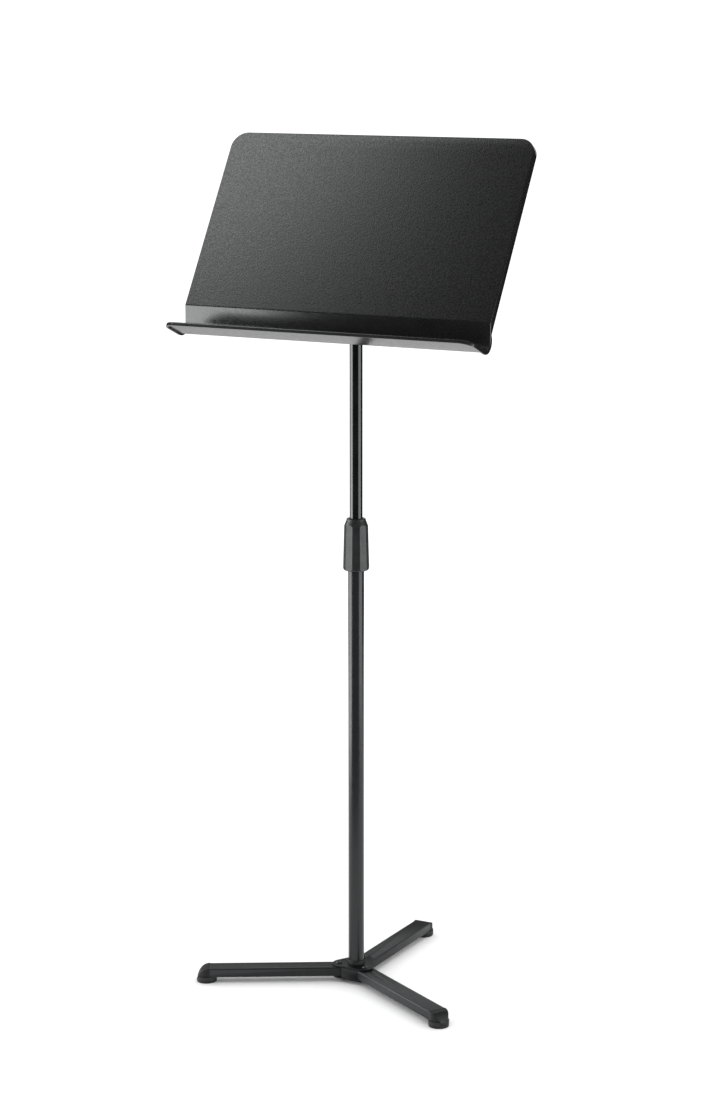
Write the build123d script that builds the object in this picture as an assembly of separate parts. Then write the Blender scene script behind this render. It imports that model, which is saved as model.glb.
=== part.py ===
from build123d import *
import math
import os

# Orchestra music stand: flat three-legged folding base, two-tube column with a twist
# clutch, and a moulded desk on a friction tilt head. Millimetres, +Z up, +Y away from
# the player, +X to the player's right. The origin is on the floor on the column's axis.

# ---- base ----
PIVOT_R = 28.0            # leg pivots from the column's axis
FOLD_FREE = 0.3           # air between swinging legs and whatever they pass
LEG_W = 30.0
LEG_H = 14.8
LEG_WALL = 1.5
LEG_CORNER = 2.0
LEG_Z = 9.7               # underside of the leg tubes
LEG_ROOT_R = 14.7         # rounded inner end, about the pivot
LEG_TIP_R = 257.5         # outermost point of a foot
FOOT_R = 16.3             # the round foot, slightly wider than the tube
CAP_JOINT_R = 236.0       # where tube ends and cap begins
CAP_ROUND = 20.4          # quarter round over the toe
TOE_FLAT = 15.1           # the round's foot, ahead of the foot's centre
FOOT_BAND = 1.6           # full-round band just above the pad
SPIGOT = 18.0
PAD_H = 2.6
PLATE_T = 3.0
LOBE_R = 17.0             # hub lobes, rounded about points inside the pivots
LOBE_CENTRE_R = 21.0
BOTTOM_PLATE_Z = LEG_Z - FOLD_FREE - PLATE_T
TOP_PLATE_Z = LEG_Z + LEG_H + FOLD_FREE
HUB_TOP = TOP_PLATE_Z + PLATE_T
WEB_FACE = 27.2           # outer face of the hub's upturned walls
WEB_T = 2.0
WALL_STOP = 13.0          # the walls' ends, where the swinging legs come to rest
CORE_R = 11.0
BUSH_R = 5.0
SCREW_R = 3.0
LEGS = {"front_right": -30.0, "front_left": 210.0, "rear": 90.0}

# ---- column ----
OUTER_R = 12.5
OUTER_BORE = 11.0
OUTER_TOP = 738.0
INNER_R = 10.0
INNER_BORE = 8.8
INNER_FOOT = 500.0
INNER_TOP = 1134.0
RUN = 0.05                # radial clearance of a running fit
COLLAR_R = 13.9
COLLAR_H = 7.0
PLUG_H = 34.0
BASE_BOLT_R = 5.0

# ---- twist clutch ----
SLEEVE_FOOT = 675.2
SLEEVE_WAIST = 678.7
SLEEVE_SHOULDER = 745.8
SHOULDER_H = 9.0
SLEEVE_NECK = 752.0
NECK_R = 15.2
SLEEVE_TOP = 757.5
SLEEVE_R_FOOT = 20.5      # to the corners
SLEEVE_R_TOP = 18.7
FACETS = 10
FACET_PHASE = -61.8       # one flat looks this way, degrees from +X
CLUTCH_BUSH_R = 15.6
CLUTCH_BUSH_FOOT = 690.0
COLLET_FOOT = 744.0
COLLET_TOP = 752.0

# ---- desk ----
TILT = 31.0               # panel from upright
PANEL_W = 527.0
PANEL_H = 304.3
BEND_Y = -73.5            # the ridge where panel turns into trough
BEND_Z = 1084.7
SHEET = 3.2
FLANGE = 13.8             # depth of the rear-turned rim
PANEL_CORNER = 26.0
BAND_LEN = 25.7           # the steeper band below the ridge
TROUGH_R = 14.4           # inside radius of the trough
SHELF_DIP = 8.35          # the shelf falls away from square to the panel
SHELF_REACH = 52.5        # shelf's front edge from the trough's centre
SHELF_CORNER = 21.5
RIM = 5.8                 # height of the rim under the shelf
RIM_T = 3.0
END_RIM_R = 18.8          # outline of the rims that close the trough's ends
END_RIM_BACK = 2.8        # its centre, behind and below the trough's
END_RIM_DROP = 0.7

# ---- tilt head ----
TILT_Z = 1150.0           # tilt axis crosses the column's axis here
BARREL_R = 13.0
BARREL_HALF = 18.0
SOCKET_R = 13.5
SOCKET_FOOT = 1106.0
TILT_BOLT_R = 4.0
WASHER_T = 1.5
EAR_T = 2.5
EAR_R = 14.0
BOSS_H = 4.0
BOSS_R = 6.0
SCREW_SHANK_R = 1.9
BOSS_X = 42.0
BOSS_RISE = 26.0
BRACKET_W = 112.0
BRACKET_H = 76.0
SCREW_HEAD_R = 4.2
KNOB_R = 16.5
KNOB_LEN = 21.0
EAR_FACE = BARREL_HALF + FOLD_FREE + WASHER_T + EAR_T
KNOB_FACE = EAR_FACE + WASHER_T + FOLD_FREE

tilt = math.radians(TILT)
bend = Vector(0, BEND_Y, BEND_Z)
tilt_up = -BEND_Y * math.sin(tilt) + (TILT_Z - BEND_Z) * math.cos(tilt)
tilt_back = -BEND_Y * math.cos(tilt) - (TILT_Z - BEND_Z) * math.sin(tilt)


def save(name, shape):
    export_step(shape, f"parts/{name}.step")


def rod(radius, z0, z1):
    """Upright cylinder from z0 to z1."""
    return Pos(0, 0, z0) * Cylinder(radius, z1 - z0, align=(Align.CENTER, Align.CENTER, Align.MIN))


def ring(outer, inner, z0, z1):
    return rod(outer, z0, z1) - rod(inner, z0 - 1, z1 + 1)


def cross_rod(radius, x0, x1):
    """Cylinder along X on the tilt axis."""
    along = Rot(0, 90, 0) * Cylinder(radius, x1 - x0, align=(Align.CENTER, Align.CENTER, Align.MIN))
    return Pos(x0, 0, TILT_Z) * along


def cross_ring(outer, inner, x0, x1):
    return cross_rod(outer, x0, x1) - cross_rod(inner, x0 - 1, x1 + 1)


def at_leg(angle, shape):
    return Rot(0, 0, angle) * shape


def at_pivots(shape):
    """The same small piece at all three leg pivots, as separate solids."""
    return Compound(children=[at_leg(a, Pos(PIVOT_R, 0, 0) * shape) for a in LEGS.values()])


def on_desk(shape):
    """From the desk's own frame (ridge at the origin, panel upright) to its tilted place."""
    return Pos(bend) * Rot(-TILT, 0, 0) * shape


# ---------------- base ----------------

def hub_outline():
    discs = [Rot(0, 0, a) * Pos(LOBE_CENTRE_R, 0) * Circle(LOBE_R) for a in LEGS.values()]
    return make_hull(Sketch(children=discs).edges())


def hub_holes(z0):
    holes = rod(BASE_BOLT_R + 0.2, z0 - 1, z0 + PLATE_T + 1)
    for a in LEGS.values():
        holes += at_leg(a, Pos(PIVOT_R, 0, 0) * rod(SCREW_R + 0.1, z0 - 1, z0 + PLATE_T + 1))
    return holes


def hub_top_plate():
    plate = Pos(0, 0, TOP_PLATE_Z) * extrude(hub_outline(), PLATE_T)
    top_edges = plate.edges().group_by(Axis.Z)[-1]
    return fillet(top_edges, 0.8) - hub_holes(TOP_PLATE_Z)


def hub_bottom_plate():
    """Pressed plate with two upturned walls that hold the fixed leg and stop the others."""
    plate = Pos(0, 0, BOTTOM_PLATE_Z) * extrude(hub_outline(), PLATE_T)
    wall = Box(WALL_STOP + 20, WEB_T, TOP_PLATE_Z - BOTTOM_PLATE_Z, align=(Align.MIN, Align.MIN, Align.MIN))
    front_wall = Pos(-WALL_STOP, -WEB_FACE, BOTTOM_PLATE_Z) * wall
    side_wall = Rot(0, 0, 120) * mirror(front_wall, about=Plane.YZ)
    fixed_leg = Box(100, LEG_W, 60, align=(Align.MIN, Align.CENTER, Align.CENTER))
    walls = front_wall + side_wall - at_leg(LEGS["front_right"], fixed_leg)
    return plate + walls - hub_holes(BOTTOM_PLATE_Z)


def leg_tube():
    """Rectangular tube along +X, its inner end rounded about the pivot at x = PIVOT_R."""
    length = CAP_JOINT_R - PIVOT_R + LEG_ROOT_R
    start = PIVOT_R - LEG_ROOT_R
    section = Plane.YZ.offset(start) * Pos(0, LEG_Z + LEG_H / 2)
    tube = extrude(section * RectangleRounded(LEG_W, LEG_H, LEG_CORNER), length)
    bore = RectangleRounded(LEG_W - 2 * LEG_WALL, LEG_H - 2 * LEG_WALL, LEG_CORNER - LEG_WALL)
    tube -= extrude(section * bore, length)
    straight = Pos(PIVOT_R, 0, 0) * Box(length, LEG_W + 2, 60, align=(Align.MIN, Align.CENTER, Align.CENTER))
    tube &= straight + Pos(PIVOT_R, 0, 0) * rod(LEG_ROOT_R, -30, 30)
    return tube - Pos(PIVOT_R, 0, 0) * rod(BUSH_R + RUN, 0, 40)


def leg_cap():
    """Moulded toe: a round foot under a quarter-rounded end, with a spigot up the tube."""
    foot_x = LEG_TIP_R - FOOT_R
    block = Pos(CAP_JOINT_R, 0) * Rectangle(foot_x - CAP_JOINT_R, LEG_W, align=(Align.MIN, Align.CENTER))
    plan = block + Pos(foot_x, 0) * Circle(LEG_W / 2)
    body = extrude(Pos(0, 0, LEG_Z) * plan, LEG_H)
    tube_room = Box(80, 80, LEG_H, align=(Align.MAX, Align.CENTER, Align.MIN))
    body -= Pos(CAP_JOINT_R, 0, LEG_Z) * tube_room
    body += Pos(foot_x, 0, 0) * rod(FOOT_R, PAD_H, LEG_Z)
    side_start = foot_x - FOOT_R - 1
    side = Rectangle(foot_x + TOE_FLAT - side_start, LEG_Z + LEG_H - PAD_H, align=(Align.MIN, Align.MIN))
    side = fillet(side.vertices().group_by(Axis.X)[-1].group_by(Axis.Y)[-1], CAP_ROUND)
    body &= extrude(Plane.XZ.offset(-2 * FOOT_R) * Pos(side_start, PAD_H) * side, 4 * FOOT_R)
    body += Pos(foot_x, 0, 0) * rod(FOOT_R, PAD_H, PAD_H + FOOT_BAND)
    inner_w = LEG_W - 2 * LEG_WALL - 0.1
    inner_h = LEG_H - 2 * LEG_WALL - 0.1
    section = Plane.YZ.offset(CAP_JOINT_R - SPIGOT) * Pos(0, LEG_Z + LEG_H / 2)
    return body + extrude(section * RectangleRounded(inner_w, inner_h, 1.0), SPIGOT + 1)


def foot_pad():
    pad = Pos(LEG_TIP_R - FOOT_R, 0, 0) * rod(FOOT_R - 0.6, 0, PAD_H)
    return chamfer(pad.edges().group_by(Axis.Z)[0], 0.5)


def pivot_screw():
    head = fillet(rod(5.2, HUB_TOP, HUB_TOP + 2.4).edges().group_by(Axis.Z)[-1], 1.2)
    hexagon = Pos(0, 0, HUB_TOP + 1.0) * extrude(RegularPolygon(1.9, 6), 3)
    return head + rod(SCREW_R, 3.4, HUB_TOP + 0.5) - hexagon


def pivot_nut():
    nut = Pos(0, 0, BOTTOM_PLATE_Z - 3.4) * extrude(RegularPolygon(5.6, 6), 3.4)
    return nut - rod(SCREW_R, 0, 10)


# ---------------- column ----------------

def column_collar():
    collar = rod(COLLAR_R, HUB_TOP, HUB_TOP + COLLAR_H)
    collar = fillet(collar.edges().group_by(Axis.Z)[-1], 1.2)
    return collar - rod(OUTER_R, HUB_TOP - 1, HUB_TOP + COLLAR_H + 1)


def base_bolt():
    head = chamfer(rod(9.0, 1.8, 5.4).edges().group_by(Axis.Z)[0], 1.0)
    hexagon = Pos(0, 0, 1.0) * extrude(RegularPolygon(3.5, 6), 3.0)
    return head + rod(BASE_BOLT_R, 5.0, HUB_TOP + PLUG_H - 4) - hexagon


def guide_bush():
    """Nylon plug in the foot of the inner tube; its skirt runs in the outer tube."""
    skirt = rod(OUTER_BORE - RUN, INNER_FOOT - 16, INNER_FOOT - 0.3)
    skirt = chamfer(skirt.edges().group_by(Axis.Z)[0], 1.0)
    plug = rod(INNER_BORE - RUN, INNER_FOOT - 2, INNER_FOOT + 14)
    return skirt + plug - rod(5.0, INNER_FOOT - 20, INNER_FOOT + 20)


# ---------------- twist clutch ----------------

def decagon(radius):
    """Decagon to its corners, one flat facing FACET_PHASE."""
    return RegularPolygon(radius, FACETS, rotation=FACET_PHASE + 180 / FACETS)


def clutch_sleeve():
    foot = Pos(0, 0, SLEEVE_FOOT) * decagon(SLEEVE_R_FOOT - 1.7)
    waist = Pos(0, 0, SLEEVE_WAIST) * decagon(SLEEVE_R_FOOT)
    top = Pos(0, 0, SLEEVE_SHOULDER) * decagon(SLEEVE_R_TOP)
    lower = loft([foot, waist])
    grip = loft([waist, top])
    cone = Cone(SLEEVE_R_TOP, NECK_R, SHOULDER_H, align=(Align.CENTER, Align.CENTER, Align.MIN))
    shoulder = Pos(0, 0, SLEEVE_SHOULDER) * cone
    shoulder &= extrude(top, SHOULDER_H + 1)
    rim = fillet(rod(NECK_R, SLEEVE_NECK, SLEEVE_TOP).edges().group_by(Axis.Z)[-1], 1.8)
    body = lower + grip + shoulder + rim
    body -= rod(OUTER_R + 0.4, SLEEVE_FOOT - 1, CLUTCH_BUSH_FOOT)
    body -= rod(CLUTCH_BUSH_R + RUN, CLUTCH_BUSH_FOOT - FOLD_FREE, COLLET_FOOT + FOLD_FREE)
    throat = Cone(13.3, 12.0, COLLET_TOP - COLLET_FOOT, align=(Align.CENTER, Align.CENTER, Align.MIN))
    body -= Pos(0, 0, COLLET_FOOT + FOLD_FREE) * throat
    return body - rod(INNER_R + 0.4, COLLET_FOOT, SLEEVE_TOP + 1)


def clutch_bush():
    body = rod(CLUTCH_BUSH_R, CLUTCH_BUSH_FOOT, COLLET_FOOT)
    body -= rod(OUTER_R, CLUTCH_BUSH_FOOT - 1, OUTER_TOP)
    return body - rod(INNER_R + RUN, OUTER_TOP - 1, COLLET_FOOT + 1)


def clutch_collet():
    taper = Cone(13.0, 11.7, COLLET_TOP - COLLET_FOOT, align=(Align.CENTER, Align.CENTER, Align.MIN))
    collet = Pos(0, 0, COLLET_FOOT) * taper - rod(INNER_R + RUN, COLLET_FOOT - 1, COLLET_TOP + 1)
    slit = Box(20, 1.5, 40, align=(Align.MIN, Align.CENTER, Align.CENTER))
    return collet - Pos(0, 0, COLLET_FOOT) * slit


# ---------------- tilt head ----------------

def tilt_head():
    barrel = cross_rod(BARREL_R, -BARREL_HALF, BARREL_HALF)
    barrel = chamfer(barrel.edges().filter_by(GeomType.CIRCLE), 1.0)
    head = barrel + rod(SOCKET_R, SOCKET_FOOT, TILT_Z)
    head -= rod(INNER_R, SOCKET_FOOT - 1, INNER_TOP)
    return head - cross_rod(TILT_BOLT_R + RUN, -BARREL_HALF - 1, BARREL_HALF + 1) - head_pin()


def head_pin():
    """Roll pin that holds the head on the inner tube."""
    along = Rot(90, 0, 0) * Cylinder(2.0, 2 * SOCKET_R - 1)
    return Pos(0, 0, SOCKET_FOOT + 12) * along


def tilt_bracket():
    """Pressed plate on the desk's back with two ears around the tilt head."""
    plate_y = SHEET + BOSS_H
    plate = Box(BRACKET_W, EAR_T, BRACKET_H, align=(Align.CENTER, Align.MIN, Align.CENTER))
    bracket = Pos(0, plate_y, tilt_up) * fillet(plate.edges().filter_by(Axis.Y), 8)
    for side in (-1, 1):
        ear = Rot(0, 90, 0) * Cylinder(EAR_R, EAR_T)
        root = Box(EAR_T, tilt_back - plate_y, 2 * EAR_R, align=(Align.CENTER, Align.MAX, Align.CENTER))
        place = Pos(side * (BARREL_HALF + FOLD_FREE + WASHER_T + EAR_T / 2), tilt_back, tilt_up)
        bracket += place * (ear + root)
    for x in (-BOSS_X, BOSS_X):
        for rise in (-BOSS_RISE, BOSS_RISE):
            hole = Rot(90, 0, 0) * Cylinder(2.2, 40)
            bracket -= Pos(x, plate_y, tilt_up + rise) * hole
    return on_desk(bracket) - cross_rod(TILT_BOLT_R, -60, 60)


def bracket_screws():
    screws = []
    for x in (-BOSS_X, BOSS_X):
        for rise in (-BOSS_RISE, BOSS_RISE):
            head = Cylinder(SCREW_HEAD_R, 2.6, align=(Align.CENTER, Align.CENTER, Align.MIN))
            head = fillet(head.edges().group_by(Axis.Z)[-1], 1.2)
            slot = Box(1.1, 5, 1.2) + Box(5, 1.1, 1.2)
            shank = Cylinder(SCREW_SHANK_R, 7.5, align=(Align.CENTER, Align.CENTER, Align.MAX))
            screw = head + shank - Pos(0, 0, 2.3) * slot
            screws.append(on_desk(Pos(x, SHEET + BOSS_H + EAR_T, tilt_up + rise) * Rot(-90, 0, 0) * screw))
    return Compound(children=screws)


def friction_washers():
    inner = BARREL_HALF + FOLD_FREE
    pair = [cross_ring(11.5, TILT_BOLT_R, inner, inner + WASHER_T)]
    pair.append(cross_ring(11.5, TILT_BOLT_R, -inner - WASHER_T, -inner))
    return Compound(children=pair)

def tilt_bolt():
    head = Plane.YZ.offset(-EAR_FACE - 5.3) * Pos(0, TILT_Z) * RegularPolygon(7.5, 6)
    return extrude(head, 5.3) + cross_rod(TILT_BOLT_R, -EAR_FACE - 1, KNOB_FACE + 15)


def tilt_knob():
    lobes = Circle(KNOB_R - 3.5)
    for k in range(6):
        lobes += Rot(0, 0, 60 * k) * Pos(KNOB_R - 5, 0) * Circle(5)
    body = extrude(Plane.YZ.offset(KNOB_FACE + 5) * Pos(0, TILT_Z) * lobes, KNOB_LEN - 5)
    body = fillet(body.edges().group_by(Axis.X)[-1], 1.5)
    body += cross_rod(8.5, KNOB_FACE, KNOB_FACE + 6)
    return body - cross_rod(6.0, KNOB_FACE - 1, KNOB_FACE + 16)


# ---------------- desk ----------------

def desk_panel():
    """Shallow tray standing upright: flat front, rim turned back along the sides and top."""
    blank = Pos(0, PANEL_H / 2) * Rectangle(PANEL_W, PANEL_H)
    blank = fillet(blank.vertices().group_by(Axis.Y)[-1], PANEL_CORNER)
    slab = extrude(Plane.XZ * blank, -FLANGE)
    front = slab.faces().sort_by(Axis.Y)[0].edges().sort_by(Axis.Z)[1:]
    slab = fillet(front, 1.6)
    hollow = Pos(0, PANEL_H / 2 - SHEET) * Rectangle(PANEL_W - 2 * SHEET, PANEL_H)
    hollow = fillet(hollow.vertices().group_by(Axis.Y)[-1], PANEL_CORNER - SHEET)
    return slab - extrude(Plane.XZ.offset(-SHEET) * hollow, -FLANGE)


def band_point(s):
    return Vector(s * math.sin(tilt), -s * math.cos(tilt))


def trough_centre():
    end = band_point(BAND_LEN)
    return Vector(end.X - TROUGH_R * math.cos(tilt), end.Y - TROUGH_R * math.sin(tilt))


def desk_trough():
    """Band below the ridge and the trough's curved floor, the same section all along."""
    dip = math.radians(SHELF_DIP)
    tangent = TROUGH_R / math.tan((math.pi / 2 - tilt + dip) / 2)
    corner = band_point(BAND_LEN + tangent)
    run = tangent + 0.01
    shelf_start = (corner.X - run * math.cos(dip), corner.Y - run * math.sin(dip))
    path = FilletPolyline((0, 0.01), (corner.X, corner.Y), shelf_start, radius=TROUGH_R)
    strip = make_face(offset(path, SHEET, side=Side.LEFT))
    return extrude(Plane.YZ.offset(-PANEL_W / 2) * strip, PANEL_W)


def desk_shelf():
    """Shelf ahead of the trough, with a rim under its edges."""
    half = SHELF_REACH / 2
    blank = Pos(0, -half) * Rectangle(PANEL_W, SHELF_REACH)
    blank = fillet(blank.vertices().group_by(Axis.Y)[0], SHELF_CORNER)
    shelf = Pos(0, 0, -TROUGH_R) * extrude(blank, -RIM)
    recess = Pos(0, RIM_T - half) * Rectangle(PANEL_W - 2 * RIM_T, SHELF_REACH)
    recess = fillet(recess.vertices().group_by(Axis.Y)[0], SHELF_CORNER - RIM_T)
    shelf -= Pos(0, 0, -TROUGH_R - SHEET) * extrude(recess, -RIM)
    centre = trough_centre()
    return Pos(0, centre.X, centre.Y) * Rot(SHELF_DIP, 0, 0) * shelf


def end_rim():
    """Section of the rim at each end of the band and trough, less the open side in front."""
    centre = trough_centre()
    dip = math.radians(SHELF_DIP)
    band_end = band_point(BAND_LEN)
    floor_end = (centre.X + TROUGH_R * math.sin(dip), centre.Y - TROUGH_R * math.cos(dip))
    lip = (floor_end[0] - 60 * math.cos(dip), floor_end[1] - 60 * math.sin(dip))
    disc = Pos(centre.X + END_RIM_BACK, centre.Y - END_RIM_DROP) * Circle(END_RIM_R)
    front = [(0, 0.5), (band_end.X, band_end.Y), (centre.X, centre.Y), floor_end, lip, (lip[0], 0.5)]
    open_side = make_face(Polyline(*front, front[0]))
    disc -= open_side
    disc -= Pos(centre.X, centre.Y) * Circle(TROUGH_R)
    behind = FLANGE - centre.X - END_RIM_BACK
    flange_end = centre.Y - END_RIM_DROP + math.sqrt(END_RIM_R**2 - behind**2)
    cheek = [(1, 0.5), (FLANGE, 0.5), (FLANGE, flange_end), (band_end.X + 1, flange_end - 3)]
    return disc + make_face(Polyline(*cheek, cheek[0]))


def desk_shell():
    shell = desk_panel() + desk_trough() + desk_shelf()
    section = end_rim()
    for x in (-PANEL_W / 2, PANEL_W / 2 - RIM_T):
        shell += extrude(Plane.YZ.offset(x) * section, RIM_T)
    for x in (-BOSS_X, BOSS_X):
        for rise in (-BOSS_RISE, BOSS_RISE):
            boss = Pos(x, SHEET - 0.5, tilt_up + rise) * Rot(-90, 0, 0)
            shell += boss * Cylinder(BOSS_R, BOSS_H + 0.5, align=(Align.CENTER, Align.CENTER, Align.MIN))
            pilot = Pos(x, SHEET + BOSS_H, tilt_up + rise) * Rot(-90, 0, 0)
            shell -= pilot * Cylinder(SCREW_SHANK_R, 5.2, align=(Align.CENTER, Align.CENTER, Align.MAX))
    return on_desk(shell)


os.makedirs("parts", exist_ok=True)

save("hub_top_plate", hub_top_plate())
save("hub_bottom_plate", hub_bottom_plate())
save("hub_core", ring(CORE_R, BASE_BOLT_R + 0.2, BOTTOM_PLATE_Z + PLATE_T, TOP_PLATE_Z))
save("pivot_bushes", at_pivots(ring(BUSH_R, SCREW_R + 0.1, BOTTOM_PLATE_Z + PLATE_T, TOP_PLATE_Z)))
save("pivot_screws", at_pivots(pivot_screw()))
save("pivot_nuts", at_pivots(pivot_nut()))
for leg, angle in LEGS.items():
    save(f"{leg}_leg_tube", at_leg(angle, leg_tube()))
    save(f"{leg}_leg_cap", at_leg(angle, leg_cap()))
    save(f"{leg}_foot_pad", at_leg(angle, foot_pad()))

save("base_bolt", base_bolt())
save("base_washer", ring(10.0, BASE_BOLT_R + 0.2, 5.4, BOTTOM_PLATE_Z))
save("column_plug", ring(OUTER_BORE, BASE_BOLT_R, HUB_TOP, HUB_TOP + PLUG_H))
save("column_collar", column_collar())
save("outer_tube", ring(OUTER_R, OUTER_BORE, HUB_TOP, OUTER_TOP))
save("inner_tube", ring(INNER_R, INNER_BORE, INNER_FOOT, INNER_TOP) - head_pin())
save("guide_bush", guide_bush())

save("clutch_bush", clutch_bush())
save("clutch_collet", clutch_collet())
save("clutch_sleeve", clutch_sleeve())

save("tilt_head", tilt_head())
save("head_pin", head_pin())
save("tilt_bracket", tilt_bracket())
save("bracket_screws", bracket_screws())
save("friction_washers", friction_washers())
save("tilt_bolt", tilt_bolt())
save("knob_washer", cross_ring(9.5, TILT_BOLT_R, EAR_FACE, EAR_FACE + WASHER_T))
save("knob_insert", cross_ring(6.0, TILT_BOLT_R + RUN, KNOB_FACE, KNOB_FACE + 15.5))
save("tilt_knob", tilt_knob())
save("desk_shell", desk_shell())
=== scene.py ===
import math
import bmesh
import bpy
from mathutils import Matrix, Vector


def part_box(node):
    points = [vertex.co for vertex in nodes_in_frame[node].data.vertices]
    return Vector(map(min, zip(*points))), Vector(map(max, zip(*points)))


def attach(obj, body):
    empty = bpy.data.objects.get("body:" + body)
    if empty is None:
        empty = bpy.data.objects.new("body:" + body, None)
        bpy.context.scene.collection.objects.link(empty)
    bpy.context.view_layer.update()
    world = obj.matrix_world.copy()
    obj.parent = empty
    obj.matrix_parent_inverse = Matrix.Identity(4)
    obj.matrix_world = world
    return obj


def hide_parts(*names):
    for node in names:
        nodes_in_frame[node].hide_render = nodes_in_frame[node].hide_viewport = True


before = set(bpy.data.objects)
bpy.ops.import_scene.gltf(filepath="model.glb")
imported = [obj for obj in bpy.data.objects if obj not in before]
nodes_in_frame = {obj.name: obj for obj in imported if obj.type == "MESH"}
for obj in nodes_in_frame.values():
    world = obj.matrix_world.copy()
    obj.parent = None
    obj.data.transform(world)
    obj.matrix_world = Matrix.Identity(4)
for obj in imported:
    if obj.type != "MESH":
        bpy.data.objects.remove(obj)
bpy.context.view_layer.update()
scene = bpy.context.scene
mm = 0.001

# ---------------------------------------------------------------------------
# Camera. It stands in front of the music stand, to the player's right and a
# little above the desk, far enough away for a flat, catalogue-like perspective.
# ---------------------------------------------------------------------------
camera_data = bpy.data.cameras.new("camera")
camera_data.sensor_fit = "VERTICAL"
camera_data.sensor_height = 36.0
camera_data.lens = 86.79
camera = bpy.data.objects.new("camera", camera_data)
camera.location = (1942.3 * mm, -3615.2 * mm, 1521.9 * mm)
camera.rotation_euler = (math.radians(90 - 11.332), 0, math.radians(28.163))
scene.collection.objects.link(camera)
scene.camera = camera

# ---------------------------------------------------------------------------
# Studio. Pale paper on the floor under a white surround, low soft boxes left and
# right of the stand, one high on the left, one overhead, and a pale screen behind.
# ---------------------------------------------------------------------------
scene.view_settings.view_transform = "Standard"


class Finish:
    """One procedural finish: its shader, and short ways to add detail on object coordinates."""

    def __init__(self, name, colour, roughness, metal=0.0, level=0.5):
        self.material = bpy.data.materials.new(name)
        self.material.use_nodes = True
        self.nodes = self.material.node_tree.nodes
        self.links = self.material.node_tree.links
        self.shader = self.nodes["Principled BSDF"]
        self.shader.inputs["Base Color"].default_value = (*colour, 1)
        self.shader.inputs["Roughness"].default_value = roughness
        self.shader.inputs["Metallic"].default_value = metal
        self.shader.inputs["Specular IOR Level"].default_value = level
        self.colour = colour
        self.roughness = roughness
        self.coordinates = self.nodes.new("ShaderNodeTexCoord").outputs["Object"]

    def stretched(self, scale):
        """Object coordinates drawn out along an axis."""
        mapping = self.nodes.new("ShaderNodeMapping")
        mapping.inputs["Scale"].default_value = scale
        self.links.new(self.coordinates, mapping.inputs["Vector"])
        return mapping.outputs["Vector"]

    def noise(self, size, detail=2.0, stretch=None):
        """Soft noise whose blobs are about size metres across."""
        texture = self.nodes.new("ShaderNodeTexNoise")
        texture.inputs["Scale"].default_value = 1 / size
        texture.inputs["Detail"].default_value = detail
        self.links.new(self.stretched(stretch) if stretch else self.coordinates, texture.inputs["Vector"])
        return texture.outputs["Fac"]

    def cells(self, size, feature="F1"):
        """Cell pattern for grain, about size metres across."""
        texture = self.nodes.new("ShaderNodeTexVoronoi")
        texture.feature = feature
        texture.inputs["Scale"].default_value = 1 / size
        self.links.new(self.coordinates, texture.inputs["Vector"])
        return texture.outputs["Distance"]

    def ranged(self, value, low, high, start=0.3, end=0.7):
        """The value, from start to end, as a number from low to high."""
        spread = self.nodes.new("ShaderNodeMapRange")
        spread.inputs["From Min"].default_value = start
        spread.inputs["From Max"].default_value = end
        spread.inputs["To Min"].default_value = low
        spread.inputs["To Max"].default_value = high
        self.links.new(value, spread.inputs["Value"])
        return spread.outputs["Result"]

    def tinted(self, value, other, strength=1.0):
        """The base colour, drifting towards another colour where value is high."""
        mix = self.nodes.new("ShaderNodeMix")
        mix.data_type = "RGBA"
        source = self.shader.inputs["Base Color"]
        mix.inputs["A"].default_value = (*self.colour, 1)
        if source.is_linked:
            self.links.new(source.links[0].from_socket, mix.inputs["A"])
        mix.inputs["B"].default_value = (*other, 1)
        self.links.new(self.ranged(value, 0.0, strength), mix.inputs["Factor"])
        self.links.new(mix.outputs["Result"], source)

    def dulled(self, value, spread):
        """Roughness that wanders by spread either side of its own value."""
        low, high = self.roughness - spread, self.roughness + spread
        self.links.new(self.ranged(value, low, high), self.shader.inputs["Roughness"])

    def relief(self, value, height):
        """Surface relief of about height metres; later calls ride on earlier ones."""
        bump = self.nodes.new("ShaderNodeBump")
        bump.inputs["Strength"].default_value = 1.0
        bump.inputs["Distance"].default_value = height
        self.links.new(value, bump.inputs["Height"])
        normal = self.shader.inputs["Normal"]
        if normal.is_linked:
            self.links.new(normal.links[0].from_socket, bump.inputs["Normal"])
        self.links.new(bump.outputs["Normal"], normal)

    def painted_edge_highlight(self, highlight_colour, strength):
        """Painted highlight: outer edges are tinted a lighter tone where they would catch the light."""
        sharpness = self.nodes.new("ShaderNodeNewGeometry").outputs["Pointiness"]
        ramp = self.ranged(sharpness, 0.0, 1.0, 0.52, 0.60)
        self.tinted(ramp, highlight_colour, strength)


paper = Finish("floor_paper", (0.96, 0.96, 0.96), 0.9, level=0.2)
paper.relief(paper.noise(0.9 * mm, 3.0), 0.02 * mm)
paper.dulled(paper.noise(60 * mm), 0.04)

FLOOR_SIZE = 1.7
FLOOR_CENTRE = (-0.2, 0.85, 0)
bm = bmesh.new()
bmesh.ops.create_circle(bm, cap_ends=True, segments=96, radius=FLOOR_SIZE)
bmesh.ops.translate(bm, vec=FLOOR_CENTRE, verts=bm.verts)
floor_mesh = bpy.data.meshes.new("floor")
bm.to_mesh(floor_mesh)
bm.free()
floor = bpy.data.objects.new("floor", floor_mesh)
floor.data.materials.append(paper.material)
scene.collection.objects.link(floor)

SURROUND_GLOW = 1.2
LAMP_TONE = (0.97, 1.0, 0.995)
world = bpy.data.worlds.new("studio")
scene.world = world
world.use_nodes = True
world.node_tree.nodes["Background"].inputs["Color"].default_value = (1, 1, 1, 1)
world.node_tree.nodes["Background"].inputs["Strength"].default_value = SURROUND_GLOW
world.cycles_visibility.glossy = False


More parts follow.
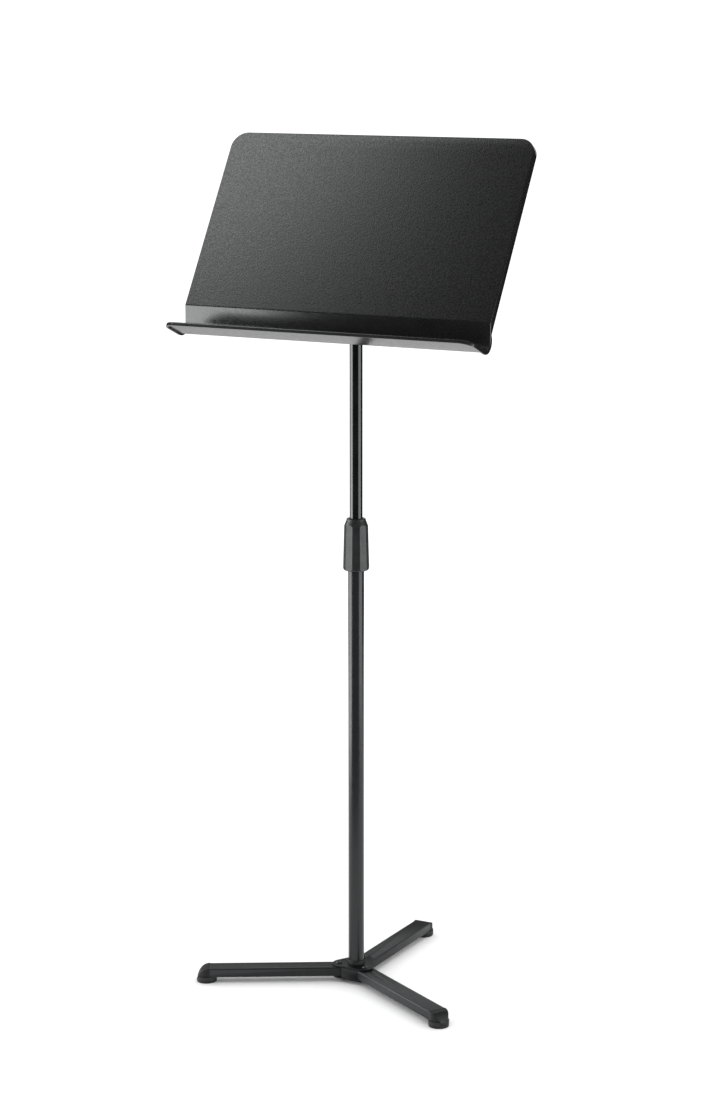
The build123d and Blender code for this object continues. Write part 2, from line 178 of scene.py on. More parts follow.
def soft_box(name, centre, aim, width, height, glow, fills=False):
    """A soft rectangular light of surface brightness glow; only one that fills lights matt surfaces."""
    data = bpy.data.lights.new(name, "AREA")
    data.shape = "RECTANGLE"
    data.size = width
    data.size_y = height
    data.energy = glow * math.pi * width * height
    data.color = LAMP_TONE
    lamp = bpy.data.objects.new(name, data)
    lamp.location = centre
    lamp.rotation_euler = (Vector(aim) - Vector(centre)).to_track_quat("-Z", "Y").to_euler()
    lamp.visible_camera = False
    lamp.visible_diffuse = fills
    scene.collection.objects.link(lamp)


soft_box("left_box", (-1.01, -0.48, 0.62), (0, 0.13, 0.62), 1.12, 1.15, 6.4)
soft_box("right_box", (1.59, 0.16, 0.62), (0, 0, 0.62), 1.5, 1.25, 3.6)
soft_box("high_left_box", (-1.64, -0.5, 2.9), (0, 0, 1.25), 1.3, 1.5, 5.2)
soft_box("rear_screen", (-1.1, 2.1, 1.5), (0, 0, 0.1), 3.4, 1.6, 0.9)
soft_box("overhead_box", (0.5, 0.7, 3.2), (0.1, 0.2, 0), 2.2, 2.2, 0.7, fills=True)

# ---------------------------------------------------------------------------
# Hub plates. Two laser-cut 3 mm steel plates with three rounded lobes, powder
# coated satin black; the lower one has two walls turned up beside the fixed leg.
# ---------------------------------------------------------------------------
PIVOT_R = 28.0 * mm
LOBE_R = 17.0 * mm
LOBE_CENTRE_R = 21.0 * mm
PLATE_T = 3.0 * mm
HUB_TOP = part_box("hub_top_plate")[1].z
LEGS = {"front_right": -30.0, "front_left": 210.0, "rear": 90.0}
LEG_BODY = {"front_right": "base", "front_left": "front_left_leg", "rear": "rear_leg"}
LOBE_SWEEP = math.radians(120)
SHARP = math.radians(25)
SMOOTH = 35.0


def powder_coat(name, colour=(0.007, 0.0075, 0.008), roughness=0.36, level=0.30):
    """Satin black powder coat: fine orange peel, slight cloudiness, edges a touch lighter as a painted
    highlight.
    """
    coat = Finish(name, colour, roughness, level=level)
    coat.tinted(coat.noise(14 * mm, 3.0), tuple(1.5 * c for c in colour))
    coat.dulled(coat.noise(9 * mm, 4.0), 0.04)
    coat.relief(coat.noise(0.9 * mm, 2.0), 0.010 * mm)
    coat.relief(coat.noise(0.22 * mm, 1.0), 0.002 * mm)
    # Painted highlight: a lighter tone on the sharp outer edges.
    coat.painted_edge_highlight((0.04, 0.042, 0.045), 0.5)
    return coat.material


steel_coat = powder_coat("powder_coated_steel", (0.004, 0.0042, 0.0045), level=0.16)


def finished_piece(name, bm, body, materials, replaced, smooth=SMOOTH):
    """Turn finished mesh work into an object that rides on its CAD body."""
    bmesh.ops.recalc_face_normals(bm, faces=bm.faces)
    mesh = bpy.data.meshes.new(name)
    bm.to_mesh(mesh)
    bm.free()
    for material in materials:
        mesh.materials.append(material)
    mesh.shade_smooth()
    mesh.set_sharp_from_angle(angle=math.radians(smooth))
    piece = bpy.data.objects.new(name, mesh)
    scene.collection.objects.link(piece)
    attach(piece, body)
    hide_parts(*replaced)


def creases(bm):
    """Edges where two faces meet at a distinct corner."""
    return [e for e in bm.edges if len(e.link_faces) == 2 and e.calc_face_angle(0) > SHARP]


def eased(bm, edges, width, segments=2):
    """Round these edges over."""
    bmesh.ops.bevel(
        bm, geom=list(edges), offset=width, affect="EDGES", segments=segments, profile=0.5, material=-1,
        clamp_overlap=True,
    )


def eased_copy(name, node, body, material, width, segments=2):
    """A CAD node's shape with its sharp edges eased by width, as a coated or moulded part has."""
    bm = bmesh.new()
    bm.from_mesh(nodes_in_frame[node].data)
    bmesh.ops.remove_doubles(bm, verts=bm.verts, dist=0.002 * mm)
    bmesh.ops.dissolve_limit(bm, angle_limit=math.radians(1.0), verts=bm.verts, edges=bm.edges)
    eased(bm, creases(bm), width, segments)
    finished_piece(name, bm, body, [material], [node])


def finish_node(node, material):
    """Give a carried-over CAD node its finish."""
    data = nodes_in_frame[node].data
    data.materials.clear()
    data.materials.append(material)


def lifted(bm, made, rise):
    """Move the vertices that an extrusion made straight up."""
    verts = [v for v in made if isinstance(v, bmesh.types.BMVert)]
    bmesh.ops.translate(bm, vec=(0, 0, rise), verts=verts)


def top_plate():
    bm = bmesh.new()
    tips = []
    for angle in sorted(LEGS.values()):
        a = math.radians(angle)
        centre = Vector((LOBE_CENTRE_R * math.cos(a), LOBE_CENTRE_R * math.sin(a), HUB_TOP - PLATE_T))
        start = a - LOBE_SWEEP / 2
        first = bm.verts.new(centre + Vector((math.cos(start), math.sin(start), 0)) * LOBE_R)
        arc = bmesh.ops.spin(
            bm, geom=[first], cent=centre, axis=(0, 0, 1), angle=LOBE_SWEEP, steps=18, use_duplicate=False,
        )
        tips.append((first, arc["geom_last"][0]))
    for k in range(3):
        bm.edges.new((tips[k][1], tips[(k + 1) % 3][0]))
    outline = bmesh.ops.contextual_create(bm, geom=list(bm.edges))["faces"]
    raised = bmesh.ops.extrude_face_region(bm, geom=outline)["geom"]
    lifted(bm, raised, PLATE_T)
    rims = [e for e in bm.edges if abs(e.verts[0].co.z - e.verts[1].co.z) < 0.1 * mm]
    eased(bm, rims, 0.7 * mm, 3)
    finished_piece("upper_hub_plate", bm, "base", [steel_coat], ["hub_top_plate"])


top_plate()
eased_copy("lower_hub_plate", "hub_bottom_plate", "base", steel_coat, 0.4 * mm)

# ---------------------------------------------------------------------------
# Hub core, bushes, washer, bolt and nuts. Turned and cold-headed steel, bright
# zinc plated; they space the plates and carry the column and the legs.
# ---------------------------------------------------------------------------


def zinc_plate():
    """Zinc plate: bluish silver with faint turning marks and cloudy patches."""
    zinc = Finish("zinc_plate", (0.52, 0.53, 0.55), 0.3, metal=1.0)
    zinc.tinted(zinc.noise(5 * mm, 4.0), (0.38, 0.39, 0.40), 0.7)
    zinc.dulled(zinc.noise(3 * mm, 3.0), 0.08)
    zinc.relief(zinc.noise(0.5 * mm, 2.0, stretch=(0.08, 0.08, 1)), 0.006 * mm)
    return zinc.material


zinc = zinc_plate()
for node in ("hub_core", "pivot_bushes", "base_washer", "column_plug"):
    finish_node(node, zinc)
eased_copy("hub_nuts", "pivot_nuts", "base", zinc, 0.3 * mm)
eased_copy("column_bolt", "base_bolt", "base", zinc, 0.25 * mm)

# ---------------------------------------------------------------------------
# Legs. Flat rectangular steel tube, about 30 x 15 mm, roll-formed with small
# corner radii and powder coated; the inner end is rounded about its pivot screw.
# ---------------------------------------------------------------------------
leg_coat = powder_coat("powder_coated_leg", roughness=0.40, level=0.28)
for leg, body in LEG_BODY.items():
    node = f"{leg}_leg_tube"
    eased_copy(f"{leg}_leg", node, body, leg_coat, 0.25 * mm)

# ---------------------------------------------------------------------------
# Toes. Injection-moulded black plastic, pushed into the tube's end: a quarter
# round runs down over a round foot that ends in a narrow full-round band.
# ---------------------------------------------------------------------------
TUBE_END_R = 236.0 * mm
FOOT_R = 16.3 * mm
FOOT_CENTRE_R = 257.5 * mm - FOOT_R
TUBE_HALF = 15.0 * mm
PAD_H = 2.6 * mm
TUBE_UNDERSIDE = 9.7 * mm
TOE_TOP = 24.5 * mm
TOE_ROUND = 20.4 * mm
TOE_FLAT = 15.1 * mm
BAND_H = 1.6 * mm
ROUND_CUTS = 12


def moulded_black(
    name, colour=(0.010, 0.010, 0.0105), roughness=0.55, level=0.32, grain=0.35 * mm, depth=0.012 * mm,
):
    """Spark-textured black plastic: even fine grain with slightly uneven gloss."""
    plastic = Finish(name, colour, roughness, level=level)
    plastic.tinted(plastic.noise(11 * mm, 3.0), tuple(1.5 * c for c in colour))
    plastic.dulled(plastic.noise(6 * mm, 4.0), 0.05)
    plastic.relief(plastic.cells(grain), depth)
    plastic.relief(plastic.noise(2.5 * mm, 2.0), 0.012 * mm)
    # Painted highlight: a lighter tone on the sharp outer edges.
    plastic.painted_edge_highlight((0.035, 0.035, 0.037), 0.6)
    return plastic.material


toe_plastic = moulded_black("toe_plastic", (0.007, 0.007, 0.0075), level=0.26)


def planed(bm, point, normal):
    """Cut the mesh flat along a plane and close the cut."""
    whole = list(bm.verts) + list(bm.edges) + list(bm.faces)
    cut = bmesh.ops.bisect_plane(
        bm, geom=whole, dist=0.001 * mm, plane_co=point, plane_no=normal, clear_outer=True,
    )["geom_cut"]
    rim = [e for e in cut if isinstance(e, bmesh.types.BMEdge)]
    if rim:
        bmesh.ops.edgeloop_fill(bm, edges=rim)


def raised_block(outline, low, high):
    """A closed block from a flat outline's corner points."""
    bm = bmesh.new()
    base = bm.faces.new([bm.verts.new((x, y, low)) for x, y in outline])
    top = bmesh.ops.extrude_face_region(bm, geom=[base])["geom"]
    lifted(bm, top, high - low)
    return bm


def round_over_toe(bm):
    """Plane the quarter round down over the toe."""
    axis_x = FOOT_CENTRE_R + TOE_FLAT - TOE_ROUND
    axis_z = TOE_TOP - TOE_ROUND
    for k in range(ROUND_CUTS + 1):
        a = math.radians(90 * k / ROUND_CUTS)
        normal = Vector((math.cos(a), 0, math.sin(a)))
        planed(bm, Vector((axis_x, 0, axis_z)) + normal * TOE_ROUND, normal)


def joined(target, source):
    """Add one mesh's closed shell to another."""
    scratch = bpy.data.meshes.new("scratch")
    source.to_mesh(scratch)
    source.free()
    target.from_mesh(scratch)
    bpy.data.meshes.remove(scratch)


def foot_disc(low, high):
    bm = bmesh.new()
    bmesh.ops.create_cone(
        bm, cap_ends=True, segments=72, radius1=FOOT_R, radius2=FOOT_R, depth=high - low,
        matrix=Matrix.Translation((FOOT_CENTRE_R, 0, (low + high) / 2)),
    )
    return bm


def toe(name, angle, body, node):
    half_disc = bmesh.new()
    start = half_disc.verts.new((FOOT_CENTRE_R, -TUBE_HALF, 0))
    bmesh.ops.spin(
        half_disc, geom=[start], cent=(FOOT_CENTRE_R, 0, 0), axis=(0, 0, 1), angle=math.pi, steps=36,
        use_duplicate=False,
    )
    half_disc.verts.ensure_lookup_table()
    outline = [(v.co.x, v.co.y) for v in half_disc.verts]
    half_disc.free()
    outline += [(TUBE_END_R, TUBE_HALF), (TUBE_END_R, -TUBE_HALF)]
    bm = raised_block(outline, TUBE_UNDERSIDE, TOE_TOP)
    round_over_toe(bm)
    eased(bm, creases(bm), 0.5 * mm, 3)
    foot = foot_disc(PAD_H + BAND_H, TUBE_UNDERSIDE)
    round_over_toe(foot)
    joined(bm, foot)
    band = foot_disc(PAD_H, PAD_H + BAND_H)
    rims = [e for e in band.edges if abs(e.verts[0].co.z - e.verts[1].co.z) < 0.01 * mm]
    eased(band, rims, 0.3 * mm)
    joined(bm, band)
    bmesh.ops.rotate(bm, cent=(0, 0, 0), matrix=Matrix.Rotation(math.radians(angle), 3, "Z"), verts=bm.verts)
    finished_piece(name, bm, body, [toe_plastic], [node])


for leg, body in LEG_BODY.items():
    toe(f"{leg}_toe", LEGS[leg], body, f"{leg}_leg_cap")

# ---------------------------------------------------------------------------
# Foot pads. Dark rubber discs under the toes, moulded with a small chamfer
# where they meet the floor.
# ---------------------------------------------------------------------------


def rubber_finish():
    rubber = Finish("foot_rubber", (0.014, 0.014, 0.014), 0.7, level=0.35)
    rubber.tinted(rubber.noise(2 * mm, 4.0), (0.03, 0.03, 0.029), 0.8)
    rubber.dulled(rubber.noise(4 * mm, 3.0), 0.08)
    rubber.relief(rubber.cells(0.5 * mm), 0.03 * mm)
    return rubber.material


foot_rubber = rubber_finish()


def turned(profile, closed, segments=72, axis=(0, 0, 1), centre=(0, 0, 0)):
    """A lathe-turned piece from its half profile of (radius, height) points."""
    bm = bmesh.new()
    verts = [bm.verts.new((r, 0, z)) for r, z in profile]
    edges = [bm.edges.new(pair) for pair in zip(verts, verts[1:])]
    if closed:
        edges.append(bm.edges.new((verts[-1], verts[0])))
    bmesh.ops.spin(
        bm, geom=verts + edges, cent=(0, 0, 0), axis=(0, 0, 1), angle=2 * math.pi, steps=segments,
        use_merge=True, use_duplicate=False,
    )
    bmesh.ops.remove_doubles(bm, verts=bm.verts, dist=0.001 * mm)
    turn = Vector((0, 0, 1)).rotation_difference(Vector(axis)).to_matrix().to_4x4()
    bmesh.ops.transform(bm, matrix=Matrix.Translation(centre) @ turn, verts=bm.verts)
    return bm


PAD_R = FOOT_R - 0.6 * mm
for leg, body in LEG_BODY.items():
    a = math.radians(LEGS[leg])
    place = (FOOT_CENTRE_R * math.cos(a), FOOT_CENTRE_R * math.sin(a), 0)
    half = [
        (0, 0), (PAD_R - 3 * mm, 0), (PAD_R - 2.6 * mm, 0.25 * mm), (PAD_R - 2.0 * mm, 0.25 * mm),
        (PAD_R - 1.6 * mm, 0), (PAD_R - 0.5 * mm, 0), (PAD_R - 0.12 * mm, 0.18 * mm), (PAD_R, 0.5 * mm),
        (PAD_R, PAD_H), (0, PAD_H),
    ]
    pad = turned(half, False, centre=place)
    finished_piece(f"{leg}_rubber_pad", pad, body, [foot_rubber], [f"{leg}_foot_pad"])

# ---------------------------------------------------------------------------
# Pivot screws. Black-oxide button-head screws with a hex socket, one through
# each lobe of the hub into the nut below.
# ---------------------------------------------------------------------------
SCREW_HEAD_R = 5.2 * mm
SCREW_HEAD_H = 2.4 * mm
SOCKET_R = 1.9 * mm
SOCKET_DEPTH = 1.4 * mm


def black_oxide():
    oxide = Finish("black_oxide", (0.03, 0.03, 0.033), 0.3, metal=0.6)
    oxide.tinted(oxide.noise(1.6 * mm, 3.0), (0.06, 0.058, 0.055), 0.6)
    oxide.dulled(oxide.noise(1.2 * mm, 3.0), 0.08)
    oxide.relief(oxide.noise(0.3 * mm, 2.0), 0.008 * mm)
    # Painted highlight: a lighter tone on the sharp outer edges.
    oxide.painted_edge_highlight((0.16, 0.16, 0.16), 0.6)
    return oxide.material


screw_black = black_oxide()


def rings_up(bm, ring, steps, centre):
    """Draw a ring of edges upwards through (scale, rise) steps about a centre line."""
    for scale, rise in steps:
        made = bmesh.ops.extrude_edge_only(bm, edges=ring)["geom"]
        verts = [v for v in made if isinstance(v, bmesh.types.BMVert)]
        ring = [e for e in made if isinstance(e, bmesh.types.BMEdge)]
        bmesh.ops.scale(bm, vec=(scale, scale, 1), verts=verts, space=Matrix.Translation(-Vector(centre)))
        bmesh.ops.translate(bm, vec=(0, 0, rise), verts=verts)
    return ring


def button_head(pivot):
    bm = bmesh.new()
    place = Matrix.Translation(pivot)
    bmesh.ops.create_circle(bm, segments=48, radius=SCREW_HEAD_R, matrix=place)
    dome = [(1.0, 0.7), (0.985, 0.4), (0.955, 0.4), (0.92, 0.35), (0.87, 0.3), (0.82, 0.2), (0.78, 0.05)]
    ring = rings_up(bm, list(bm.edges), [(s, h * mm) for s, h in dome], pivot)
    hexagon = bmesh.ops.create_circle(
        bm, segments=6, radius=SOCKET_R, matrix=Matrix.Translation(pivot + Vector((0, 0, SCREW_HEAD_H))),
    )["verts"]
    flats = list({e for v in hexagon for e in v.link_edges})
    bmesh.ops.bridge_loops(bm, edges=ring + flats)
    floor_ring = rings_up(bm, flats, [(1.0, -SOCKET_DEPTH)], pivot)
    bmesh.ops.contextual_create(bm, geom=floor_ring)
    bmesh.ops.holes_fill(bm, edges=bm.edges, sides=0)
    return bm


heads = bmesh.new()
for angle in LEGS.values():
    a = math.radians(angle)
    joined(heads, button_head(Vector((PIVOT_R * math.cos(a), PIVOT_R * math.sin(a), HUB_TOP))))
finished_piece("hub_screws", heads, "base", [screw_black], ["pivot_screws"])

# ---------------------------------------------------------------------------
# Column. A 25 mm steel tube with satin powder coat stands on the hub inside a
# dark collar; a 20 mm tube in gloss enamel slides inside it.
# ---------------------------------------------------------------------------
OUTER_R = 12.5 * mm
OUTER_BORE = 11.0 * mm
OUTER_TOP = 738.0 * mm
INNER_R = 10.0 * mm
INNER_BORE = 8.8 * mm
INNER_FOOT = 500.0 * mm
INNER_TOP = 1134.0 * mm
COLLAR_R = 13.9 * mm
COLLAR_TOP = HUB_TOP + 7.0 * mm
COLLAR_BORE = OUTER_R - 0.05 * mm


def tube_profile(outer, bore, low, high, ease):
    return [
        (bore, low), (outer - ease, low), (outer, low + ease), (outer, high - ease), (outer - ease, high),
        (bore, high),
    ]


column_coat = powder_coat("powder_coated_column", (0.0025, 0.0026, 0.0028), 0.22, 0.36)
lower = turned(tube_profile(OUTER_R, OUTER_BORE, HUB_TOP, OUTER_TOP, 0.4 * mm), True, 96)
finished_piece("lower_tube", lower, "base", [column_coat], ["outer_tube"])

collar_plastic = moulded_black("collar_plastic", (0.006, 0.006, 0.0065), level=0.2)
collar_half = [
    (COLLAR_BORE, HUB_TOP), (COLLAR_R, HUB_TOP), (COLLAR_R, COLLAR_TOP - 1.2 * mm),
    (COLLAR_R - 0.35 * mm, COLLAR_TOP - 0.35 * mm), (COLLAR_R - 1.0 * mm, COLLAR_TOP),
    (COLLAR_BORE, COLLAR_TOP),
]
collar = turned(collar_half, True, 96)
finished_piece("foot_collar", collar, "base", [collar_plastic], ["column_collar"])


def gloss_enamel():
    """Gloss black enamel: deep colour, almost mirror smooth, with a long faint ripple."""
    enamel = Finish("gloss_enamel", (0.005, 0.005, 0.0055), 0.13, level=0.52)
    enamel.tinted(enamel.noise(30 * mm, 2.0), (0.009, 0.009, 0.010))
    enamel.dulled(enamel.noise(12 * mm, 3.0), 0.03)
    enamel.relief(enamel.noise(6 * mm, 1.0, stretch=(1, 1, 0.1)), 0.003 * mm)
    enamel.relief(enamel.noise(0.8 * mm, 1.0), 0.0003 * mm)
    return enamel.material


tube_enamel = gloss_enamel()
upper = turned(tube_profile(INNER_R, INNER_BORE, INNER_FOOT, INNER_TOP, 0.3 * mm), True, 96)
finished_piece("upper_tube", upper, "mast", [tube_enamel], ["inner_tube"])


def nylon_finish():
    nylon = Finish("nylon", (0.55, 0.54, 0.50), 0.45)
    nylon.tinted(nylon.noise(4 * mm, 3.0), (0.46, 0.45, 0.41), 0.7)
    nylon.dulled(nylon.noise(3 * mm, 3.0), 0.06)
    nylon.relief(nylon.noise(0.4 * mm, 2.0), 0.01 * mm)
    nylon.shader.inputs["Subsurface Weight"].default_value = 0.1
    return nylon.material


nylon = nylon_finish()
for node in ("guide_bush", "clutch_bush", "clutch_collet"):
    finish_node(node, nylon)

# ---------------------------------------------------------------------------
# Twist clutch. A ten-sided sleeve of hard black plastic, turned round at the
# neck; its flats run out in shallow arcs on the shoulder.
# ---------------------------------------------------------------------------
FACETS = 10
FACET_PHASE = -61.8
SLEEVE_FOOT = 675.2 * mm
SLEEVE_WAIST = 678.7 * mm
SLEEVE_SHOULDER = 745.8 * mm
SLEEVE_TOP = 757.5 * mm
R_FOOT = 18.2 * mm
R_WAIST = 20.5 * mm
R_SHOULDER = 18.7 * mm
R_NECK = 15.2 * mm


def clutch_sleeve():
    bore_low, bore_top = 12.9 * mm, 10.4 * mm
    half = [
        (bore_low, SLEEVE_FOOT), (R_FOOT, SLEEVE_FOOT), (R_FOOT + 0.8 * mm, SLEEVE_FOOT + 0.4 * mm),
        (R_FOOT + 1.7 * mm, SLEEVE_FOOT + 1.6 * mm), (R_WAIST, SLEEVE_WAIST), (R_SHOULDER, SLEEVE_SHOULDER),
        (R_NECK + 0.5 * mm, SLEEVE_SHOULDER + 7.6 * mm), (R_NECK, SLEEVE_SHOULDER + 8.8 * mm),
        (R_NECK, SLEEVE_TOP - 1.8 * mm), (R_NECK - 0.5 * mm, SLEEVE_TOP - 0.6 * mm),
        (R_NECK - 1.7 * mm, SLEEVE_TOP), (bore_top + 0.6 * mm, SLEEVE_TOP), (bore_top, SLEEVE_TOP - 0.8 * mm),
        (bore_top, SLEEVE_TOP - 7 * mm), (bore_low, SLEEVE_TOP - 12 * mm),
    ]
    bm = turned(half, True, 120)
    share = math.cos(math.pi / FACETS)
    rise = SLEEVE_SHOULDER - SLEEVE_WAIST
    lean = share * (R_WAIST - R_SHOULDER) / rise
    for k in range(FACETS):
        a = math.radians(FACET_PHASE + 360 * k / FACETS)
        outward = Vector((math.cos(a), math.sin(a), 0))
        point = outward * R_WAIST * share + Vector((0, 0, SLEEVE_WAIST))
        planed(bm, point, (outward + Vector((0, 0, lean))).normalized())
    upright = [e for e in bm.edges if abs(e.verts[0].co.z - e.verts[1].co.z) > rise / 2]
    corners = [e for e in upright if e.calc_face_angle(0) > 0.4]
    eased(bm, corners, 0.5 * mm, 3)
    return bm


clutch_plastic = moulded_black(
    "clutch_plastic", (0.014, 0.0145, 0.0155), 0.40, level=0.42, grain=0.3 * mm, depth=0.006 * mm,
)
sleeve = clutch_sleeve()
finished_piece(
    "twist_sleeve", sleeve, "clutch", [clutch_plastic], ["clutch_sleeve"], smooth=14.0,
)

# ---------------------------------------------------------------------------
# Tilt head. A small casting on the inner tube, painted black, with a roll pin
# across its socket and a barrel for the tilt bolt.
# ---------------------------------------------------------------------------


def painted_casting():
    casting = Finish("painted_casting", (0.014, 0.014, 0.015), 0.45)
    casting.tinted(casting.noise(7 * mm, 4.0), (0.024, 0.024, 0.025))
    casting.dulled(casting.noise(5 * mm, 4.0), 0.07)
    casting.relief(casting.noise(1.1 * mm, 4.0), 0.12 * mm)
    # Painted highlight: a lighter tone on the sharp outer edges.
    casting.painted_edge_highlight((0.08, 0.08, 0.08), 0.6)
    return casting.material


eased_copy("cast_head", "tilt_head", "mast", painted_casting(), 0.5 * mm)
finish_node("head_pin", zinc)

# ---------------------------------------------------------------------------
# Desk. One injection-moulded sheet of black plastic: a leather-grained panel, a
# ridge, a smoother band and trough, and a sloping shelf; a rim turns back all round.
# ---------------------------------------------------------------------------
TILT = math.radians(31.0)
RIDGE = Vector((0, -73.5, 1084.7)) * mm
PANEL_W = 527.0 * mm
PANEL_H = 304.3 * mm
SHEET = 3.2 * mm
FLANGE = 13.8 * mm
RIM_T = 3.0 * mm
RIDGE_EASE = 1.5 * mm
FRONT_EASE = 1.5 * mm
LEAST_RIM = SHEET + 0.4 * mm
PANEL_CORNER = 26.0 * mm
BAND_LEN = 25.7 * mm
BAND_ROWS = [10 * mm, 19.5 * mm, 22.5 * mm]
TROUGH_STEPS = 16
BAND = Vector((math.sin(TILT), -math.cos(TILT)))
BAND_BACK = Vector((math.cos(TILT), math.sin(TILT)))
TROUGH_R = 14.4 * mm
TROUGH_AT = BAND * BAND_LEN - BAND_BACK * TROUGH_R
SHELF_DIP = math.radians(8.35)
SHELF_LEN = 52.5 * mm
SHELF_CORNER = 21.5 * mm
SHELF_RIM = 5.8 * mm
END_RIM_R = 18.8 * mm
END_RIM_SHIFT = Vector((2.8, -0.7)) * mm
RIM_FALL = 0.73
FLANGE_END = -14.2 * mm
ARC = TILT + math.pi / 2 - SHELF_DIP
ARC_LEN = TROUGH_R * ARC
SHEET_LEN = BAND_LEN + ARC_LEN + SHELF_LEN
desk_to_world = Matrix.Translation(RIDGE) @ Matrix.Rotation(-TILT, 4, "X")


def ridge_point(s):
    """Front surface along the sheet: (back, up) and the direction into the sheet."""
    if s <= 0:
        return Vector((0, -s)), Vector((1, 0))
    if s <= BAND_LEN:
        return BAND * s, BAND_BACK
    if s <= BAND_LEN + ARC_LEN:
        a = TILT - (s - BAND_LEN) / TROUGH_R
        out = Vector((math.cos(a), math.sin(a)))
        return TROUGH_AT + out * TROUGH_R, out
    down = Vector((math.sin(SHELF_DIP), -math.cos(SHELF_DIP)))
    ahead = Vector((math.cos(SHELF_DIP), math.sin(SHELF_DIP))) * (s - BAND_LEN - ARC_LEN)
    return TROUGH_AT + down * TROUGH_R - ahead, down


def sheet_point(s):
    """The same with the ridge rounded over."""
    if abs(s) >= RIDGE_EASE:
        return ridge_point(s)
    t = (s + RIDGE_EASE) / (2 * RIDGE_EASE)
    before, after = Vector((0, RIDGE_EASE)), BAND * RIDGE_EASE
    inward = Vector((1, 0)).lerp(BAND_BACK, t).normalized()
    return before * (1 - t) ** 2 + after * t ** 2, inward


def rim_point(s, front, inward):
    """Rear edge of the rim beside this place on the sheet."""
    if s <= 0:
        return Vector((FLANGE, front.y))
    if s <= BAND_LEN:
        centre = TROUGH_AT + END_RIM_SHIFT
        up = -RIM_FALL * s
        if up >= FLANGE_END:
            return Vector((FLANGE, up))
        return Vector((centre.x + math.sqrt(END_RIM_R**2 - (up - centre.y) ** 2), up))
    if s <= BAND_LEN + ARC_LEN:
        along = inward.dot(END_RIM_SHIFT)
        reach = along + math.sqrt(END_RIM_R**2 - END_RIM_SHIFT.length_squared + along**2)
        return front + inward * max(reach - TROUGH_R, LEAST_RIM)
    return front + inward * SHELF_RIM


def desk_blank():
    """The sheet laid out flat: x across, y along the sheet, z into it."""
    bm = bmesh.new()
    half = PANEL_W / 2
    corners = [(-half, -PANEL_H), (half, -PANEL_H), (half, SHEET_LEN), (-half, SHEET_LEN)]
    bm.faces.new([bm.verts.new((x, y, 0)) for x, y in corners])
    for is_top, radius in ((True, PANEL_CORNER), (False, SHELF_CORNER)):
        ends = [v for v in bm.verts if (v.co.y < 0) == is_top]
        bmesh.ops.bevel(
            bm, geom=ends, offset=radius, affect="VERTICES", segments=12, profile=0.5, material=-1,
        )
    ridge_rows = [-RIDGE_EASE, -RIDGE_EASE / 3, RIDGE_EASE / 3, RIDGE_EASE]
    trough_rows = [BAND_LEN + ARC_LEN * k / TROUGH_STEPS for k in range(TROUGH_STEPS + 1)]
    for row in ridge_rows + BAND_ROWS + trough_rows:
        whole = list(bm.verts) + list(bm.edges) + list(bm.faces)
        bmesh.ops.bisect_plane(bm, geom=whole, dist=0.001 * mm, plane_co=(0, row, 0), plane_no=(0, 1, 0))
    return bm


def desk_shell():
    bm = desk_blank()
    front = list(bm.faces)
    back = bmesh.ops.extrude_face_region(bm, geom=front)["geom"]
    back_faces = [f for f in back if isinstance(f, bmesh.types.BMFace)]
    lifted(bm, back, FLANGE)
    bmesh.ops.inset_region(bm, faces=back_faces, thickness=RIM_T, use_even_offset=True)
    inner = bmesh.ops.extrude_face_region(bm, geom=back_faces)["geom"]
    bmesh.ops.delete(bm, geom=back_faces, context="FACES")
    lifted(bm, inner, SHEET - FLANGE)
    bmesh.ops.recalc_face_normals(bm, faces=bm.faces)

    def sharp_at(z):
        return [
            e for e in bm.edges
            if all(abs(v.co.z - z) < 0.01 * mm for v in e.verts) and e.calc_face_angle(0) > 1.0
        ]

    eased(bm, sharp_at(0), FRONT_EASE, 4)
    eased(bm, sharp_at(FLANGE), 0.6 * mm, 2)
    for face in bm.faces:
        on_front = all(v.co.z < FRONT_EASE + 0.1 * mm for v in face.verts)
        face.material_index = 0 if on_front and face.calc_center_median().y < -RIDGE_EASE / 2 else 1
    for v in bm.verts:
        x, s, depth = v.co
        at, inward = sheet_point(s)
        if depth <= SHEET:
            place = at + inward * depth
        else:
            share = (depth - SHEET) / (FLANGE - SHEET)
            place = (at + inward * SHEET).lerp(rim_point(s, at, inward), share)
        v.co = (x, place.x, place.y)
    bmesh.ops.transform(bm, matrix=desk_to_world, verts=bm.verts)
    return bm


def desk_grain():
    """Leather grain moulded into the panel: small pebbles between fine creases."""
    grain = Finish("desk_grain", (0.0048, 0.0047, 0.0045), 0.38, level=0.48)
    grain.tinted(grain.noise(40 * mm, 2.0), (0.006, 0.0058, 0.0056), 0.8)
    grain.tinted(grain.noise(3.5 * mm, 3.0), (0.010, 0.0098, 0.0094), 0.5)
    grain.dulled(grain.noise(2.6 * mm, 3.0), 0.10)
    grain.relief(grain.cells(1.5 * mm, "SMOOTH_F1"), 0.10 * mm)
    grain.relief(grain.noise(3.4 * mm, 3.0), 0.16 * mm)
    # Painted highlight: a lighter tone on the sharp outer edges.
    grain.painted_edge_highlight((0.03, 0.03, 0.03), 0.4)
    return grain.material


def desk_smooth():
    """The same plastic left smooth and semi-gloss."""
    smooth = Finish("desk_smooth", (0.010, 0.010, 0.0105), 0.24, level=0.6)
    smooth.tinted(smooth.noise(30 * mm, 3.0), (0.013, 0.013, 0.0135))
    smooth.dulled(smooth.noise(8 * mm, 4.0), 0.03)
    smooth.relief(smooth.noise(1.2 * mm, 2.0), 0.004 * mm)
    # Painted highlight: a lighter tone on the sharp outer edges.
    smooth.painted_edge_highlight((0.03, 0.03, 0.032), 0.5)
    return smooth.material


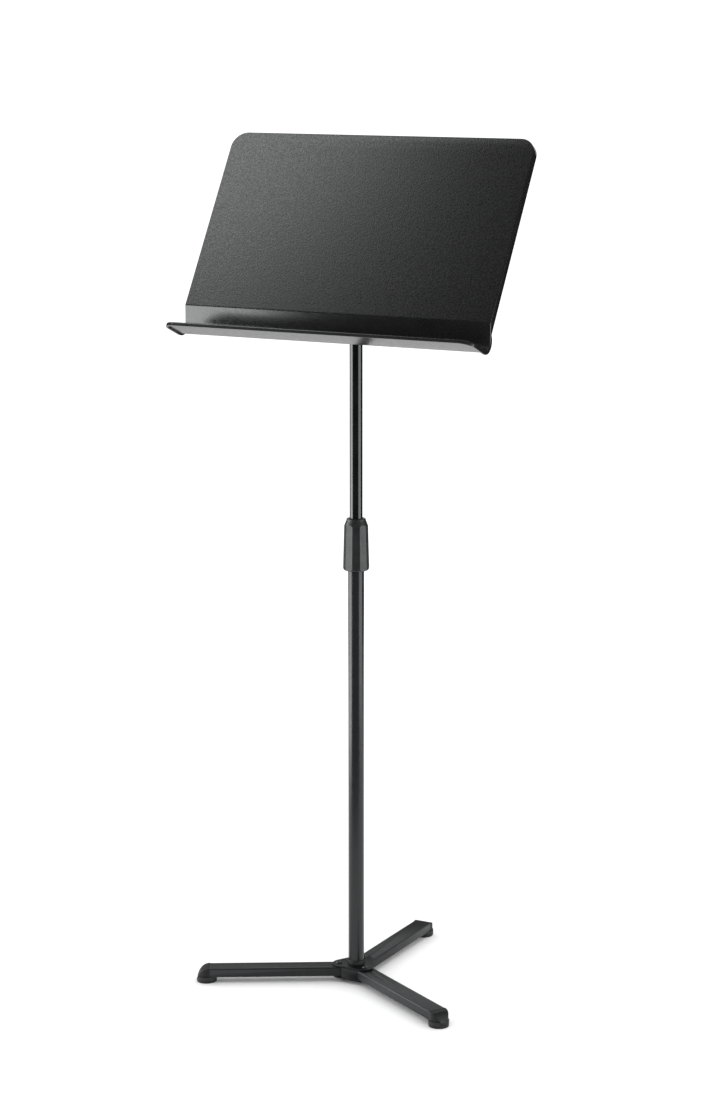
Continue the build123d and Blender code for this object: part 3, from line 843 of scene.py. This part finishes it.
BOSS_X = 42.0 * mm
BOSS_RISE = 26.0 * mm
TILT_UP = 93.83 * mm
BOSS_R = 6.0 * mm
BOSS_TOP = 4.3 * mm
BOSS_SUNK = 0.3 * mm


def desk_boss(x, rise):
    """A screw boss on the panel's back, flared where it meets the sheet."""
    spot = desk_to_world @ Vector((x, SHEET - BOSS_SUNK, TILT_UP + rise))
    along = desk_to_world.to_3x3() @ Vector((0, 1, 0))
    half = [
        (0, 0), (BOSS_R + 0.8 * mm, 0), (BOSS_R + 0.2 * mm, 0.6 * mm), (BOSS_R, 1.2 * mm),
        (BOSS_R, BOSS_TOP - 0.3 * mm), (BOSS_R - 0.3 * mm, BOSS_TOP), (0, BOSS_TOP),
    ]
    boss = turned(half, False, 32, axis=along, centre=spot)
    for face in boss.faces:
        face.material_index = 1
    return boss


desk_materials = [desk_grain(), desk_smooth()]
desk = desk_shell()
for x in (-BOSS_X, BOSS_X):
    for rise in (-BOSS_RISE, BOSS_RISE):
        joined(desk, desk_boss(x, rise))
finished_piece("desk_moulding", desk, "desk", desk_materials, ["desk_shell"], smooth=30.0)

# ---------------------------------------------------------------------------
# Tilt bracket and its fixings. A pressed steel plate with two ears is screwed
# to the desk's bosses; a bolt, fibre washers and a hand knob clamp the head.
# ---------------------------------------------------------------------------
eased_copy("rear_bracket", "tilt_bracket", "desk", steel_coat, 0.4 * mm)
eased_copy("desk_screws", "bracket_screws", "desk", screw_black, 0.12 * mm)
eased_copy("pivot_bolt", "tilt_bolt", "desk", zinc, 0.3 * mm)
finish_node("knob_washer", zinc)
finish_node("friction_washers", nylon)


def brass_finish():
    brass = Finish("brass", (0.60, 0.42, 0.16), 0.3, metal=1.0)
    brass.tinted(brass.noise(3 * mm, 3.0), (0.45, 0.30, 0.11), 0.7)
    brass.dulled(brass.noise(2 * mm, 3.0), 0.08)
    brass.relief(brass.noise(0.4 * mm, 2.0), 0.006 * mm)
    return brass.material


finish_node("knob_insert", brass_finish())

knob_plastic = moulded_black("knob_plastic", roughness=0.45)
eased_copy("hand_knob", "tilt_knob", "knob", knob_plastic, 0.4 * mm, 3)
